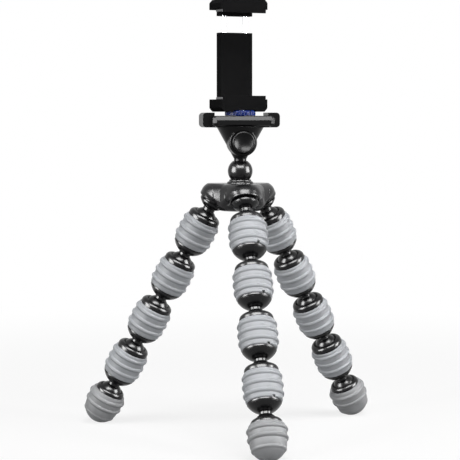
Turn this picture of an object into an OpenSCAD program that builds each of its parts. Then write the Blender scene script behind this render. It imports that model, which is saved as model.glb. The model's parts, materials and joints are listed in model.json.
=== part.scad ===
// Flexible leg tripod: three legs of ball-jointed links, a ball head and a sprung clamp.
// Millimetres, +Z up. The origin is on the ground under the hub's axis and one leg points to -Y.

/* [Legs] */
// Distance between neighbouring ball centres on a leg
link_pitch = 36.5; // [34:0.5:42]
// Lean of a leg from the vertical, in degrees
leg_lean = 30; // [24:1:36]
// Radius of the circle that the hub's three ball centres lie on
hub_ball_circle = 27.5; // [27:0.5:34]

/* [Ball joints] */
// Radius of the balls in the legs
ball_r = 8.6; // [8:0.1:9]
// Radius of the neck above a ball
neck_r = 4.3; // [3.5:0.1:4.6]
// Running gap between a ball and its cup
ball_gap = 0.08; // [0.05:0.01:0.1]
// Height of the cup's inner edge above the ball's centre
cup_edge_h = 3.4; // [2.8:0.1:4]
// Height of the cup's rim above the ball's centre
rim_h = 4.4; // [4.1:0.1:5.4]
// Radius of the cup's rim
rim_r = 11.4; // [11.2:0.1:12]
// Rounding of the rim's outer edge
rim_round = 3; // [1:0.1:3.2]

/* [Links] */
// Length of the grip sleeve
sleeve_len = 20.5; // [18:0.5:22]
// Radius of the sleeve at its middle, between ribs
sleeve_r = 12.6; // [12.2:0.1:14]
// Radius of the arc that gives the sleeve its belly
sleeve_belly_r = 85; // [60:5:200]
// Height of a rib above the sleeve
rib_h = 1; // [0.4:0.05:1.2]
// Radius of a rib's round section
rib_r = 1.5; // [1.2:0.1:2]
// Distance between ribs
rib_pitch = 6.1; // [5:0.1:6.5]
// Height of the middle rib above the sleeve's middle
rib_lift = 0.7; // [-1:0.1:1]
// Rounding of the sleeve's ends
sleeve_round = 1; // [0.5:0.1:1.2]
// Radius of the barrel inside the sleeve
core_r = 10.4; // [9.8:0.1:10.8]
// Radius of the stud's spigot in the barrel
spigot_r = 5; // [3.5:0.1:6]
// Length of the stud's spigot
spigot_len = 8; // [5:0.5:9]
// Radius of the stud's flange under the sleeve
flange_r = 11.4; // [10.8:0.1:11.8]
// Thickness of the stud's flange
flange_t = 1.6; // [1.2:0.1:2]
// Radius of the stud's round bowl
bowl_r = 13; // [12.6:0.1:14]
// Width of the key that stands on the flange in the sleeve's notch
key_w = 1.6; // [1:0.1:2.4]
// Height of the key
key_h = 1.3; // [0.8:0.1:1.8]

/* [Feet] */
// Radius of the boot's round tip
tip_r = 12.1; // [11.6:0.1:13]
// Distance of the tip's centre below the foot's ball
tip_drop = 11.3; // [9:0.1:13]
// Radius of the arc of the boot's upper half
boot_belly_r = 20; // [18:1:40]
// Height of the boot's top edge above the ball's centre
boot_edge_h = 1; // [0:0.1:1.3]
// Depth of the tread's flat on the ground
foot_flat = 0.4; // [0.2:0.1:0.8]
// Radius of the foot cup inside the boot
foot_core_r = 10; // [9.8:0.1:10.2]

/* [Hub] */
// Outer radius of a lobe
lobe_r = 10.9; // [10.6:0.1:11.6]
// Distance of a lobe's open end from its ball's centre
lobe_lip = 16; // [15.5:0.1:17]
// Length of a lobe along its stud
lobe_len = 10; // [9:0.1:11]
// Rounding of a lobe's back end
lobe_round = 7; // [5:0.1:8]
// Width of the lip round a lobe's opening
lip_w = 1.4; // [1:0.1:2]
// Depth of the recess that holds the stud's collar
lobe_recess = 1.4; // [1:0.1:2]
// Distance of a hub stud's flange below the lobe's lip
stud_drop = 1.4; // [0.8:0.1:2]
// Radius of a hub stud's round bowl
hub_bowl_r = 11; // [10.4:0.1:12]
// Radius of the hub's round body
hub_r = 17.5; // [16:0.1:19]
// Height of the body's underside above the ball centres
hub_floor_h = 6.5; // [6:0.1:7.5]
// Height of the hub's shoulder above the ball centres
hub_shoulder_h = 25; // [23:0.1:26]
// Height of the collar's top above the ball centres
collar_h = 28.3; // [27.5:0.1:29]
// Radius of the collar at its top
collar_r = 7.7; // [7.5:0.1:9]
// Radius of the space inside the hub
hub_bore_r = 9.6; // [9:0.1:10]
// Height of that space's ceiling above the ball centres
hub_ceiling_h = 18; // [16:0.1:20]
// Thickness of the cover under the hub
cover_t = 2; // [1.5:0.1:3]

/* [Ball head] */
// Height of the head ball's centre above the hub's ball centres
head_ball_h = 34; // [33.6:0.1:34.2]
// Radius of the tension bolt's shank
bolt_r = 2.2; // [1.8:0.1:2.4]
// Radius of the tension bolt's cross head
cross_r = 3; // [2.6:0.1:3.2]
// Length of the cross head
cross_len = 7.6; // [6.8:0.1:7.8]
// Largest tilt of the head each way, in degrees
tilt_max = 30; // [10:1:32]
// Height of the funnel from neck to base
funnel_h = 22.2; // [20:0.1:26]
// Radius of the funnel under the base
funnel_r = 16.5; // [14:0.1:18]
// Radius of the button drum on the funnel
drum_r = 9.8; // [9:0.1:10.5]
// Distance of the drum's face from the head's axis
drum_reach = 13; // [12:0.1:15]
// Height of the drum's axis below the base
drum_drop = 10.7; // [10.6:0.1:12]
// Radius of the release button
button_r = 7.8; // [6:0.1:8]
// Stroke of the release button
button_stroke = 2; // [1:0.1:2.5]

/* [Quick release] */
// Overall width of the base over its rails
base_w = 53.8; // [52:0.1:60]
// Width of the release plate at its foot
plate_w = 40; // [36:0.1:41]
// Height of the release plate
plate_h = 4.6; // [4:0.1:6]
// Depth of the release plate behind its lip
plate_d = 26.5; // [24:0.1:28]
// Thickness of the base's floor
floor_t = 2.5; // [2:0.1:3]
// Height of the rails
rail_h = 9.6; // [9.4:0.1:9.8]
// Length of the rails
rail_len = 19; // [14:0.1:20]
// Width of the plate's front lip
lip_plate_w = 43; // [38:0.1:46]
// Thickness of the plate's front lip
lip_plate_t = 4; // [3:0.1:5]
// Slant of the dovetail's sides, from foot to top
dovetail = 1.6; // [1:0.1:2]
// Radius of the camera screw
screw_r = 3.175; // [3.1:0.005:3.2]
// Radius of the lock ring
ring_r = 10.6; // [10:0.1:12.5]
// Thickness of the lock ring
ring_t = 3.6; // [3.4:0.1:7]

/* [Clamp] */
// Turn of the clamp on its screw, in degrees
clamp_turn = 15; // [-90:1:90]
// Width of the jaws
jaw_w = 36; // [34:0.5:44]
// Distance from the screw's axis to the front of the jaws
jaw_front = 7.5; // [7:0.1:9]
// Distance from the screw's axis to the back of the jaws
jaw_back = 13.5; // [13.4:0.1:16]
// Thickness of the lower jaw without its pad
lower_jaw_t = 8.5; // [8:0.1:10]
// Thickness of the upper jaw without its pad
upper_jaw_t = 7.1; // [6.5:0.1:9]
// Chamfer of the jaws' outer corners
jaw_chamfer = 3; // [1:0.1:4]
// Height of the jaws' front lips over the pads
jaw_lip = 1; // [0.4:0.1:2]
// Thickness of the pads
pad_t = 1.5; // [1:0.1:2]
// Clear gap between the pads
grip_gap = 58.6; // [55:0.1:64]
// Travel of the upper jaw
jaw_travel = 25; // [15:0.5:26]
// Width of the back column
column_w = 25; // [24:0.5:32]
// Thickness of the back column
column_t = 8; // [7.6:0.1:9]
// Radius of the guide rods
rod_r = 1.5; // [1.2:0.1:1.6]
// Distance between the guide rods
rod_gap = 16; // [15:0.5:18]
// Radius of the spring chambers in the column
chamber_r = 2.7; // [2.6:0.05:2.9]

/* [Fits] */
// Gap round pieces that are pressed or glued together
glue_gap = 0.05; // [0.02:0.01:0.1]
// Gap round pins and shafts that turn or slide
run_gap = 0.06; // [0.03:0.01:0.1]
// Gap between faces that slide over each other
slide_gap = 0.3; // [0.15:0.05:0.4]

/* [Hidden] */
$fn = 64;
LEGS = ["front", "right", "left"];
LINKS = 4;
LEG_STEP = 360 / len(LEGS);
SIDES = [-1, 1];

black = [0.06, 0.06, 0.07];
grey = [0.72, 0.74, 0.77];
boot_grey = [0.62, 0.64, 0.67];
blue = [0.05, 0.14, 0.5];
rubber = [0.1, 0.1, 0.11];
steel = [0.7, 0.71, 0.73];

// Overshoot of a cut past a face
cut = 1;
// Small sizes of the legs
ribs = 3;
rim_step = 0.3;
flange_step = 0.4;
key_angle = 22;
boot_swell = 0.6;
tip_rib_angle = 26;
foot_rim_step = 0.9;
// Small sizes of the hub
shank_len = 5.5;
stud_collar_r = 7.6;
hub_floor_round = 5;
hub_shoulder_round = 4.5;
collar_flare = 1.6;
collar_step = 2;
collar_edge = 1;
collar_round = 0.8;
cover_ledge = 1.2;
cover_boss_r = 2;
cover_screw_r = 0.8;
cover_screw_len = 5;
cover_head_r = 1.6;
cover_head_t = 1;
// Small sizes of the head
plug_r = 5;
bolt_washer_r = 4.6;
bolt_washer_t = 1;
bolt_nut_r = 4;
bolt_nut_t = 3.2;
bolt_end = 1;
drum_round = 1.6;
button_cap_t = 5;
button_stem_r = 2.4;
button_round = 1.2;
dish_r = 40;
dish_d = 0.5;
stem_guide = 4;
spring_gap = 5.7;
button_turns = 4;
rail_round = 2.6;
base_sink = 0.6;
stop_t = 2;
lip_bevel = 2.6;
lip_step = 1;
screw_head_r = 6.8;
screw_head_t = 2;
screw_cover = 3;
coin_w = 1.5;
coin_d = 1;
ring_round = 1.6;
ring_edge = 0.5;
ring_notches = 18;
notch_r = 1.1;
notch_out = 0.66;
// Small sizes of the clamp
jaw_round = 2;
jaw_edge = 0.4;
lip_t = 1.2;
skirt_h = 4;
pad_round = 0.8;
grooves = 5;
groove_pitch = 2;
groove_w = 0.7;
groove_d = 0.5;
guide_wall = 4;
rod_cap = 2;
washer_t = 1.2;
// Springs: a coil has this many rings to a turn and sides to a ring
wire_r = 0.4;
clamp_turns = 14;
spring_spare = 2.3;
coil_rings = 8;
coil_sides = 6;

// Ball joints
cup_r = ball_r + ball_gap;
cup_edge_r = sqrt(cup_r * cup_r - cup_edge_h * cup_edge_h);
rim_open_r = rim_r - rim_round + rim_step;

// Links, measured down a leg from a link's own ball
bowl_top = sleeve_len + flange_t;
bowl_centre = bowl_top - sqrt(pow(bowl_r, 2) - pow(flange_r - flange_step, 2));
foot_rim_r = rim_r - foot_rim_step;

// Hub
cover_r = hub_bore_r + cover_ledge;
cover_boss_circle = hub_bore_r - cover_boss_r - glue_gap;

// Heights above the ground
hub_z = (LINKS * link_pitch + tip_drop) * cos(leg_lean) + tip_r - foot_flat;
head_z = hub_z + head_ball_h;
plug_floor = cross_r + slide_gap;
plug_top = sqrt(ball_r * ball_r - plug_r * plug_r);
funnel_z = head_z + ball_r;
base_z = funnel_z + funnel_h;
plate_z = base_z + floor_t + slide_gap;
plate_top = plate_z + plate_h;
drum_z = base_z - drum_drop;
ring_z = plate_top + run_gap;
ring_top = ring_z + ring_t;
jaw_z = base_z + rail_h + 2 * slide_gap;
jaw_top = jaw_z + lower_jaw_t;
pad_z = jaw_top + pad_t;
grip_z = pad_z + grip_gap;
upper_z = grip_z + pad_t;
upper_top = upper_z + upper_jaw_t;
rod_foot = pad_z;
spring_z = rod_foot + washer_t;
spring_solid = 2 * wire_r * (clamp_turns + 1);
chamber_top = spring_z + jaw_travel + spring_solid + spring_spare;
column_top = chamber_top + guide_wall;
rod_socket = upper_jaw_t - rod_cap;
screw_end = jaw_top - screw_cover;

// Depths, front to back
plate_back = jaw_back;
plate_front = plate_back - plate_d;
column_front = jaw_back - column_t;
rod_y = jaw_back - column_t / 2;
pad_front = -jaw_front + lip_t;
pad_mid = (pad_front + column_front) / 2;

// Release button, measured forward from the head's axis
button_proud = button_stroke + slide_gap;
button_back = drum_reach + button_proud - button_cap_t;
pocket_floor = button_back - spring_gap;

// Puts a piece at ball k of a leg, with +Z up the leg
module at_ball(leg, k) {
    rotate([0, 0, leg * LEG_STEP])
        translate([0, -hub_ball_circle, hub_z])
            rotate([-leg_lean, 0, 0])
                translate([0, 0, -k * link_pitch])
                    children();
}

// Turns a profile about its upright axis, keeping only the right-hand side
module spin(reach) {
    rotate_extrude()
        intersection() {
            translate([0, -reach])
                square([reach, 2 * reach]);
            children();
        }
}

// A rectangle from the axis out to radius r, with its upper outer corner rounded
module round_top(r, low, high, corner) {
    translate([0, low])
        square([r, high - low - corner]);
    translate([0, low])
        square([r - corner, high - low]);
    intersection() {
        translate([r - corner, high - corner])
            circle(corner);
        translate([0, low])
            square([r, high - low]);
    }
}

// The inside of a cup: a ball-shaped seat and a flared mouth, whose slope starts inside the seat
module cup_seat() {
    edge = [cup_edge_r, cup_edge_h];
    slope = [rim_open_r, rim_h] - edge;
    start = edge - rim_step * slope;
    mouth = edge + (1 + rim_step) * slope;
    circle(cup_r);
    polygon([[0, start.y], start, mouth, [0, mouth.y]]);
}

// A stud's bowl, neck and ball. The bowl is part of a sphere of radius round about centre, is as wide as
// r at height top, and ends in the neck above the ball at ball_z
module bowl_neck_ball(r, round, top, centre, ball_z) {
    intersection() {
        translate([0, centre])
            circle(round);
        translate([0, ball_z])
            square([r, top - ball_z]);
    }
    translate([0, ball_z])
        square([neck_r, top - ball_z]);
    translate([0, ball_z])
        circle(ball_r);
}

module barrel(leg, k) {
    color(black)
        at_ball(leg, k)
            spin(link_pitch)
                difference() {
                    union() {
                        round_top(rim_r, 0, rim_h, rim_round);
                        translate([0, -sleeve_len])
                            square([core_r, sleeve_len]);
                    }
                    cup_seat();
                    translate([0, -sleeve_len - cut])
                        square([spigot_r + glue_gap, spigot_len + glue_gap + cut]);
                }
}

// A block on the flange's edge, gap wider than the key on each side
module key_block(r_low, r_high, gap) {
    rotate([0, 0, key_angle])
        translate([-key_w / 2 - gap, -r_high, -sleeve_len - flange_t / 2])
            cube([key_w + 2 * gap, r_high - r_low, flange_t / 2 + key_h + gap]);
}

module stud(leg, k) {
    r = flange_r - flange_step;
    color(black)
        at_ball(leg, k) {
            spin(2 * link_pitch) {
                translate([0, -sleeve_len])
                    square([spigot_r, spigot_len]);
                mirror([0, 1])
                    round_top(flange_r, sleeve_len, bowl_top, flange_t / 2);
                bowl_neck_ball(r, bowl_r, -bowl_top + flange_t / 2, -bowl_centre, -link_pitch);
            }
            key_block(core_r + glue_gap, r, 0);
        }
}

// Radius of the sleeve's belly at height z
function belly(z) = sleeve_r - sleeve_belly_r
    + sqrt(sleeve_belly_r * sleeve_belly_r - pow(z + sleeve_len / 2, 2));

module sleeve_profile() {
    difference() {
        union() {
            intersection() {
                translate([sleeve_r - sleeve_belly_r, -sleeve_len / 2])
                    circle(sleeve_belly_r, $fn = 360);
                union() {
                    round_top(sleeve_r, -sleeve_len / 2, 0, sleeve_round);
                    translate([0, -sleeve_len])
                        mirror([0, 1])
                            round_top(sleeve_r, -sleeve_len / 2, 0, sleeve_round);
                }
            }
            for (i = [0:ribs - 1]) {
                z = -sleeve_len / 2 + rib_lift + (i - (ribs - 1) / 2) * rib_pitch;
                translate([belly(z) + rib_h - rib_r, z])
                    circle(rib_r);
            }
        }
        translate([0, -sleeve_len - cut])
            square([core_r + glue_gap, sleeve_len + 2 * cut]);
    }
}

module sleeve(leg, k) {
    color(grey)
        at_ball(leg, k)
            difference() {
                spin(link_pitch)
                    sleeve_profile();
                key_block(core_r - cut, sleeve_r + cut, slide_gap);
            }
}

module foot_cup(leg) {
    color(black)
        at_ball(leg, LINKS)
            spin(link_pitch)
                difference() {
                    union() {
                        round_top(foot_rim_r, boot_edge_h, rim_h, rim_round);
                        translate([0, -tip_drop])
                            square([foot_core_r, tip_drop + boot_edge_h]);
                    }
                    cup_seat();
                }
}

// Radius of the boot's upper half at height z
function boot_belly(z) = tip_r + boot_swell - boot_belly_r
    + sqrt(boot_belly_r * boot_belly_r - pow(z + tip_drop / 2, 2));

module boot_profile() {
    translate([0, -tip_drop])
        circle(tip_r);
    intersection() {
        translate([tip_r + boot_swell - boot_belly_r, -tip_drop / 2])
            circle(boot_belly_r, $fn = 180);
        round_top(2 * tip_r, -tip_drop, boot_edge_h, sleeve_round);
    }
    for (z = [-rib_pitch / 2, -rib_pitch * 1.5])
        translate([boot_belly(z) + rib_h - rib_r, z])
            circle(rib_r);
    translate([0, -tip_drop])
        rotate(-tip_rib_angle)
            translate([tip_r + rib_h / 2 - rib_r, 0])
                circle(rib_r);
}

module foot_boot(leg) {
    color(boot_grey)
        difference() {
            at_ball(leg, LINKS)
                spin(link_pitch)
                    difference() {
                        boot_profile();
                        translate([0, -tip_drop - glue_gap])
                            square([foot_core_r + glue_gap, link_pitch]);
                    }
            translate([0, 0, -link_pitch])
                cylinder(r = 10 * link_pitch, h = link_pitch);
        }
}

// A rectangle from the axis out to radius r, with both outer corners rounded
module round_ends(r, low, high, low_corner, high_corner) {
    intersection() {
        round_top(r, low - r, high, high_corner);
        mirror([0, 1])
            round_top(r, -high - r, -low, low_corner);
    }
}

// A rounded rectangle, x_low to x_high by y_low to y_high
module round_plan(x_low, x_high, y_low, y_high, corner) {
    translate([x_low + corner, y_low])
        square([x_high - x_low - 2 * corner, y_high - y_low]);
    translate([x_low, y_low + corner])
        square([x_high - x_low, y_high - y_low - 2 * corner]);
    for (x = [x_low + corner, x_high - corner], y = [y_low + corner, y_high - corner])
        translate([x, y])
            circle(corner);
}

// Extrudes an outline drawn in x and z from y_low to y_high
module along_y(y_low, y_high) {
    translate([0, y_high, 0])
        rotate([90, 0, 0])
            linear_extrude(y_high - y_low)
                children();
}

// One unbroken coil of wire, standing on z = 0, with its ends' centres at the two heights
module coil(r, wire, height, turns) {
    sides = coil_sides;
    steps = coil_rings * turns;
    function ring(i) = [for (j = [0:sides - 1])
        let (a = 360 * turns * i / steps, b = 360 * j / sides, q = r + wire * cos(b))
        [q * cos(a), q * sin(a), wire + (height - 2 * wire) * i / steps + wire * sin(b)]];
    points = [for (i = [0:steps]) each ring(i)];
    walls = [for (i = [0:steps - 1], j = [0:sides - 1])
        let (a = i * sides + j, b = i * sides + (j + 1) % sides)
        each [[a, a + sides, b], [b, a + sides, b + sides]]];
    caps = [for (j = [1:sides - 2])
        each [[0, j, j + 1], [steps * sides, steps * sides + j + 1, steps * sides + j]]];
    polyhedron(points, concat(walls, caps), convexity = 10);
}

module lobe_profile() {
    difference() {
        round_ends(lobe_r, lobe_lip, lobe_lip + lobe_len, lip_w / 2, lobe_round);
        translate([0, lobe_lip - cut])
            square([lobe_r - lip_w, lobe_recess + cut]);
    }
}

module hub_body_profile() {
    round_ends(hub_r, hub_floor_h, hub_shoulder_h, hub_floor_round, hub_shoulder_round);
    round_ends(collar_r + collar_flare, hub_shoulder_h - collar_step, hub_shoulder_h + collar_step,
        collar_edge, collar_flare);
    round_top(collar_r, hub_floor_h, collar_h, collar_round);
}

module cover_bosses(r, low, high) {
    for (i = [0:len(LEGS) - 1])
        rotate([0, 0, (i + 0.5) * LEG_STEP])
            translate([0, -cover_boss_circle, low])
                cylinder(r = r, h = high - low);
}

module hub_shell() {
    color(black)
        difference() {
            union() {
                translate([0, 0, hub_z])
                    spin(3 * hub_r)
                        hub_body_profile();
                for (leg = [0:len(LEGS) - 1])
                    at_ball(leg, 0)
                        spin(3 * hub_r)
                            lobe_profile();
            }
            for (leg = [0:len(LEGS) - 1])
                at_ball(leg, 0) {
                    translate([0, 0, lobe_lip])
                        cylinder(r = spigot_r + glue_gap, h = lobe_recess + shank_len + glue_gap);
                    translate([0, 0, lobe_lip - hub_r])
                        cylinder(r = lobe_r - lip_w, h = hub_r + lobe_recess);
                }
            translate([0, 0, head_z])
                sphere(cup_r);
            translate([0, 0, hub_z])
                cylinder(r = bolt_r + run_gap, h = head_ball_h);
            difference() {
                translate([0, 0, hub_z])
                    cylinder(r = hub_bore_r, h = hub_ceiling_h);
                cover_bosses(cover_boss_r, hub_z + hub_floor_h + cover_t, hub_z + hub_ceiling_h + cut);
            }
            translate([0, 0, hub_z])
                cylinder(r = cover_r + glue_gap, h = hub_floor_h + cover_t);
            cover_bosses(cover_screw_r, hub_z, hub_z + hub_floor_h + cover_t + cover_screw_len);
        }
}

module hub_studs() {
    seat = lobe_lip + lobe_recess;
    flange_high = lobe_lip - stud_drop;
    bowl_low = flange_high - flange_t;
    wide_r = lobe_r - lip_w - slide_gap;
    r = wide_r - flange_step;
    color(black)
        for (leg = [0:len(LEGS) - 1])
            at_ball(leg, 0)
                spin(3 * hub_r) {
                    translate([0, flange_high - flange_t / 2])
                        square([spigot_r, seat + shank_len - flange_high + flange_t / 2]);
                    translate([0, flange_high - flange_t / 2])
                        square([stud_collar_r, seat - flange_high + flange_t / 2]);
                    mirror([0, 1])
                        round_top(wide_r, -flange_high, -bowl_low, flange_t / 2);
                    bowl_neck_ball(r, hub_bowl_r, bowl_low + flange_t / 2,
                        bowl_low + sqrt(pow(hub_bowl_r, 2) - pow(r, 2)), 0);
                }
}

module hub_cover() {
    low = hub_z + hub_floor_h;
    color(black)
        difference() {
            translate([0, 0, low])
                cylinder(r = cover_r, h = cover_t);
            cover_bosses(cover_screw_r + glue_gap, low - cut, low + cover_t + cut);
            cover_bosses(cover_head_r + glue_gap, low - cut, low + cover_head_t);
        }
}

module hub_screws() {
    low = hub_z + hub_floor_h;
    color(steel) {
        cover_bosses(cover_head_r, low, low + cover_head_t);
        cover_bosses(cover_screw_r, low, low + cover_t + cover_screw_len);
    }
}

module tension_bolt() {
    washer_top = hub_z + hub_ceiling_h - run_gap;
    nut_z = washer_top - bolt_washer_t - bolt_nut_t;
    color(steel) {
        translate([0, 0, head_z])
            rotate([0, 90, 0])
                cylinder(r = cross_r, h = cross_len, center = true);
        translate([0, 0, nut_z - bolt_end])
            cylinder(r = bolt_r, h = head_z - nut_z + bolt_end);
        translate([0, 0, washer_top - bolt_washer_t])
            cylinder(r = bolt_washer_r, h = bolt_washer_t);
        translate([0, 0, nut_z])
            cylinder(r = bolt_nut_r, h = bolt_nut_t, $fn = 6);
    }
}

// The slot that lets the ball tilt about the bolt's cross head, drawn in y and z
module tilt_slot() {
    w = bolt_r + 2 * run_gap;
    reach = 2 * ball_r;
    function ray(side) = [side * sin(tilt_max), -cos(tilt_max)];
    function edge(side) = w * [side * cos(tilt_max), sin(tilt_max)];
    polygon([
        edge(-1),
        edge(-1) + reach * ray(-1),
        edge(1) + reach * ray(1),
        edge(1)
    ]);
}

module head_ball() {
    color(black)
        translate([0, 0, head_z])
            difference() {
                sphere(ball_r);
                cylinder(r = plug_r + glue_gap, h = 2 * ball_r);
                rotate([0, 90, 0])
                    cylinder(r = cross_r + run_gap, h = cross_len + 2 * slide_gap, center = true);
                rotate([90, 0, 90])
                    linear_extrude(2 * (bolt_r + 2 * run_gap), center = true)
                        tilt_slot();
            }
}

// Cross-section of the release plate's dovetail, grown by a gap
module dovetail_outline(gap) {
    foot = plate_w / 2 + gap;
    top = foot - dovetail;
    polygon([[-foot, -gap], [foot, -gap], [top, plate_h], [top, plate_h + 2 * rail_h],
        [-top, plate_h + 2 * rail_h], [-top, plate_h]]);
}

module base_rails() {
    along_y(plate_back - rail_len, plate_back)
        difference() {
            round_plan(-base_w / 2, base_w / 2, base_z - base_sink, base_z + rail_h, rail_round);
            translate([0, plate_z])
                dovetail_outline(slide_gap);
        }
}

module base_floor() {
    half = plate_w / 2;
    translate([0, 0, base_z - base_sink]) {
        linear_extrude(base_sink + floor_t)
            round_plan(-half, half, plate_front + slide_gap, plate_back, rail_round);
        linear_extrude(base_sink + floor_t + slide_gap + plate_h)
            round_plan(-half - rail_round, half + rail_round, plate_back - base_sink,
                plate_back + stop_t, base_sink);
    }
}

module head_stem() {
    color(black)
        difference() {
            union() {
                rotate_extrude()
                    polygon([
                        [0, head_z + plug_floor],
                        [plug_r, head_z + plug_floor],
                        [plug_r, head_z + plug_top],
                        [neck_r, head_z + plug_top],
                        [neck_r, funnel_z],
                        [funnel_r, base_z],
                        [0, base_z]
                    ]);
                translate([0, 0, drum_z])
                    rotate([90, 0, 0])
                        spin(3 * drum_reach)
                            round_top(drum_r, 0, drum_reach, drum_round);
                base_floor();
                base_rails();
            }
            translate([0, 0, drum_z])
                rotate([90, 0, 0]) {
                    translate([0, 0, pocket_floor])
                        cylinder(r = button_r + slide_gap, h = 2 * drum_reach);
                    translate([0, 0, pocket_floor - stem_guide - button_stroke - cut])
                        cylinder(r = button_stem_r + run_gap, h = 2 * drum_reach);
                }
        }
}

module release_button() {
    face = drum_reach + button_proud;
    color(black)
        translate([0, 0, drum_z])
            rotate([90, 0, 0])
                spin(3 * drum_reach)
                    difference() {
                        union() {
                            round_top(button_r, button_back, face, button_round);
                            translate([0, pocket_floor - stem_guide])
                                square([button_stem_r, spring_gap + stem_guide + cut]);
                        }
                        translate([0, face + dish_r - dish_d])
                            circle(dish_r, $fn = 180);
                    }
}

module button_spring() {
    color(steel)
        translate([0, 0, drum_z])
            rotate([90, 0, 0])
                translate([0, 0, pocket_floor])
                    coil(button_stem_r + 3 * wire_r, wire_r, spring_gap, button_turns);
}

module plate_lip() {
    half = lip_plate_w / 2;
    low = base_z + slide_gap;
    hull() {
        along_y(plate_front - lip_plate_t / 2, plate_front)
            round_plan(-half, half, low, plate_top, rail_round, $fn = 32);
        along_y(plate_front - lip_plate_t, plate_front - lip_plate_t / 2)
            round_plan(-half + lip_bevel, half - lip_bevel, low + lip_step, plate_top - lip_step,
                rail_round / 2, $fn = 32);
    }
}

module release_plate() {
    color(black)
        difference() {
            union() {
                along_y(plate_front - lip_plate_t / 4, plate_back - base_sink - slide_gap)
                    intersection() {
                        translate([0, plate_z])
                            dovetail_outline(0);
                        translate([-plate_w, plate_z])
                            square([2 * plate_w, plate_h]);
                    }
                plate_lip();
            }
            translate([0, 0, plate_z - cut])
                cylinder(r = screw_r + run_gap, h = plate_h + 2 * cut);
            translate([0, 0, plate_z - cut])
                cylinder(r = screw_head_r + slide_gap, h = screw_head_t + 2 * slide_gap + cut);
        }
}

module camera_screw() {
    low = plate_z + slide_gap;
    color(steel)
        difference() {
            union() {
                translate([0, 0, low])
                    cylinder(r = screw_head_r, h = screw_head_t);
                translate([0, 0, low])
                    cylinder(r = screw_r, h = screw_end - low);
            }
            translate([-screw_head_r - cut, -coin_w / 2, low - cut])
                cube([2 * (screw_head_r + cut), coin_w, cut + coin_d]);
        }
}

module lock_ring() {
    color(blue)
        difference() {
            spin(3 * hub_z)
                round_ends(ring_r, ring_z, ring_top, ring_edge, ring_round);
            translate([0, 0, ring_z - cut])
                cylinder(r = screw_r + run_gap, h = ring_t + 2 * cut);
            for (i = [0:ring_notches - 1])
                rotate([0, 0, 360 * i / ring_notches])
                    translate([ring_r + notch_out, 0, ring_z - cut])
                        cylinder(r = notch_r, h = ring_t + 2 * cut, $fn = 24);
        }
}

module at_clamp() {
    rotate([0, 0, clamp_turn])
        children();
}

// A jaw's block: rounded in plan, with its two outer long edges cut off
module jaw_block(low, high, low_cut, high_cut) {
    half = jaw_w / 2;
    intersection() {
        translate([0, 0, low])
            linear_extrude(high - low)
                round_plan(-half, half, -jaw_front, jaw_back, jaw_round);
        along_y(-jaw_front, jaw_back)
            polygon([
                [-half + low_cut, low], [half - low_cut, low], [half, low + low_cut],
                [half, high - high_cut], [half - high_cut, high], [-half + high_cut, high],
                [-half, high - high_cut], [-half, low + low_cut]
            ]);
    }
}

module jaw_front_lip(low, high) {
    half = jaw_w / 2 - jaw_round;
    translate([-half, -jaw_front, low])
        cube([2 * half, lip_t, high - low]);
}

module column(low, high) {
    translate([0, 0, low])
        linear_extrude(high - low)
            round_plan(-column_w / 2, column_w / 2, column_front, jaw_back, jaw_round);
}

module at_rods() {
    for (side = SIDES)
        translate([side * rod_gap / 2, rod_y, 0])
            children();
}

module clamp_frame() {
    color(black)
        at_clamp()
            difference() {
                union() {
                    jaw_block(jaw_z, jaw_top, jaw_chamfer, jaw_edge);
                    jaw_front_lip(jaw_top - cut, pad_z + jaw_lip);
                    column(jaw_z + jaw_chamfer, column_top);
                }
                translate([0, 0, jaw_z - cut])
                    cylinder(r = ring_r + 2 * slide_gap, h = ring_top - jaw_z + slide_gap + cut);
                translate([0, 0, jaw_z])
                    cylinder(r = screw_r + run_gap, h = screw_end - jaw_z + slide_gap);
                at_rods() {
                    translate([0, 0, jaw_z - cut])
                        cylinder(r = chamber_r, h = chamber_top - jaw_z + cut);
                    translate([0, 0, jaw_z])
                        cylinder(r = rod_r + run_gap, h = column_top);
                }
            }
}

// Depth of a pad's groove i, front to back
function groove_y(i) = pad_mid + (i - (grooves - 1) / 2) * groove_pitch;

// A rubber pad that lies on height low, with grip grooves whose lower side is at groove_low
module jaw_pad(low, groove_low) {
    half = jaw_w / 2 - jaw_round;
    color(rubber)
        at_clamp()
            difference() {
                translate([0, 0, low])
                    linear_extrude(pad_t)
                        round_plan(-half, half, pad_front, column_front - slide_gap, pad_round);
                for (i = [0:grooves - 1])
                    translate([-half - cut, groove_y(i) - groove_w / 2, groove_low])
                        cube([2 * (half + cut), groove_w, groove_d]);
            }
}

module lower_pad() {
    jaw_pad(jaw_top, pad_z - groove_d);
}

module upper_pad() {
    jaw_pad(grip_z, grip_z);
}

module upper_jaw() {
    color(black)
        at_clamp()
            difference() {
                union() {
                    jaw_block(upper_z, upper_top, jaw_edge, jaw_chamfer);
                    jaw_front_lip(grip_z - jaw_lip, upper_z + cut);
                    column(upper_z - skirt_h, upper_z + cut);
                }
                at_rods()
                    translate([0, 0, upper_z - skirt_h - cut])
                        cylinder(r = rod_r + glue_gap, h = skirt_h + rod_socket + cut);
            }
}

module guide_rods() {
    color(steel)
        at_clamp()
            at_rods() {
                translate([0, 0, rod_foot])
                    cylinder(r = rod_r, h = upper_z + rod_socket - rod_foot);
                translate([0, 0, rod_foot])
                    cylinder(r = chamber_r - slide_gap, h = washer_t);
            }
}

module clamp_springs() {
    color(steel)
        at_clamp()
            at_rods()
                translate([0, 0, spring_z])
                    coil((rod_r + chamber_r) / 2, wire_r, chamber_top - spring_z, clamp_turns);
}

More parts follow.
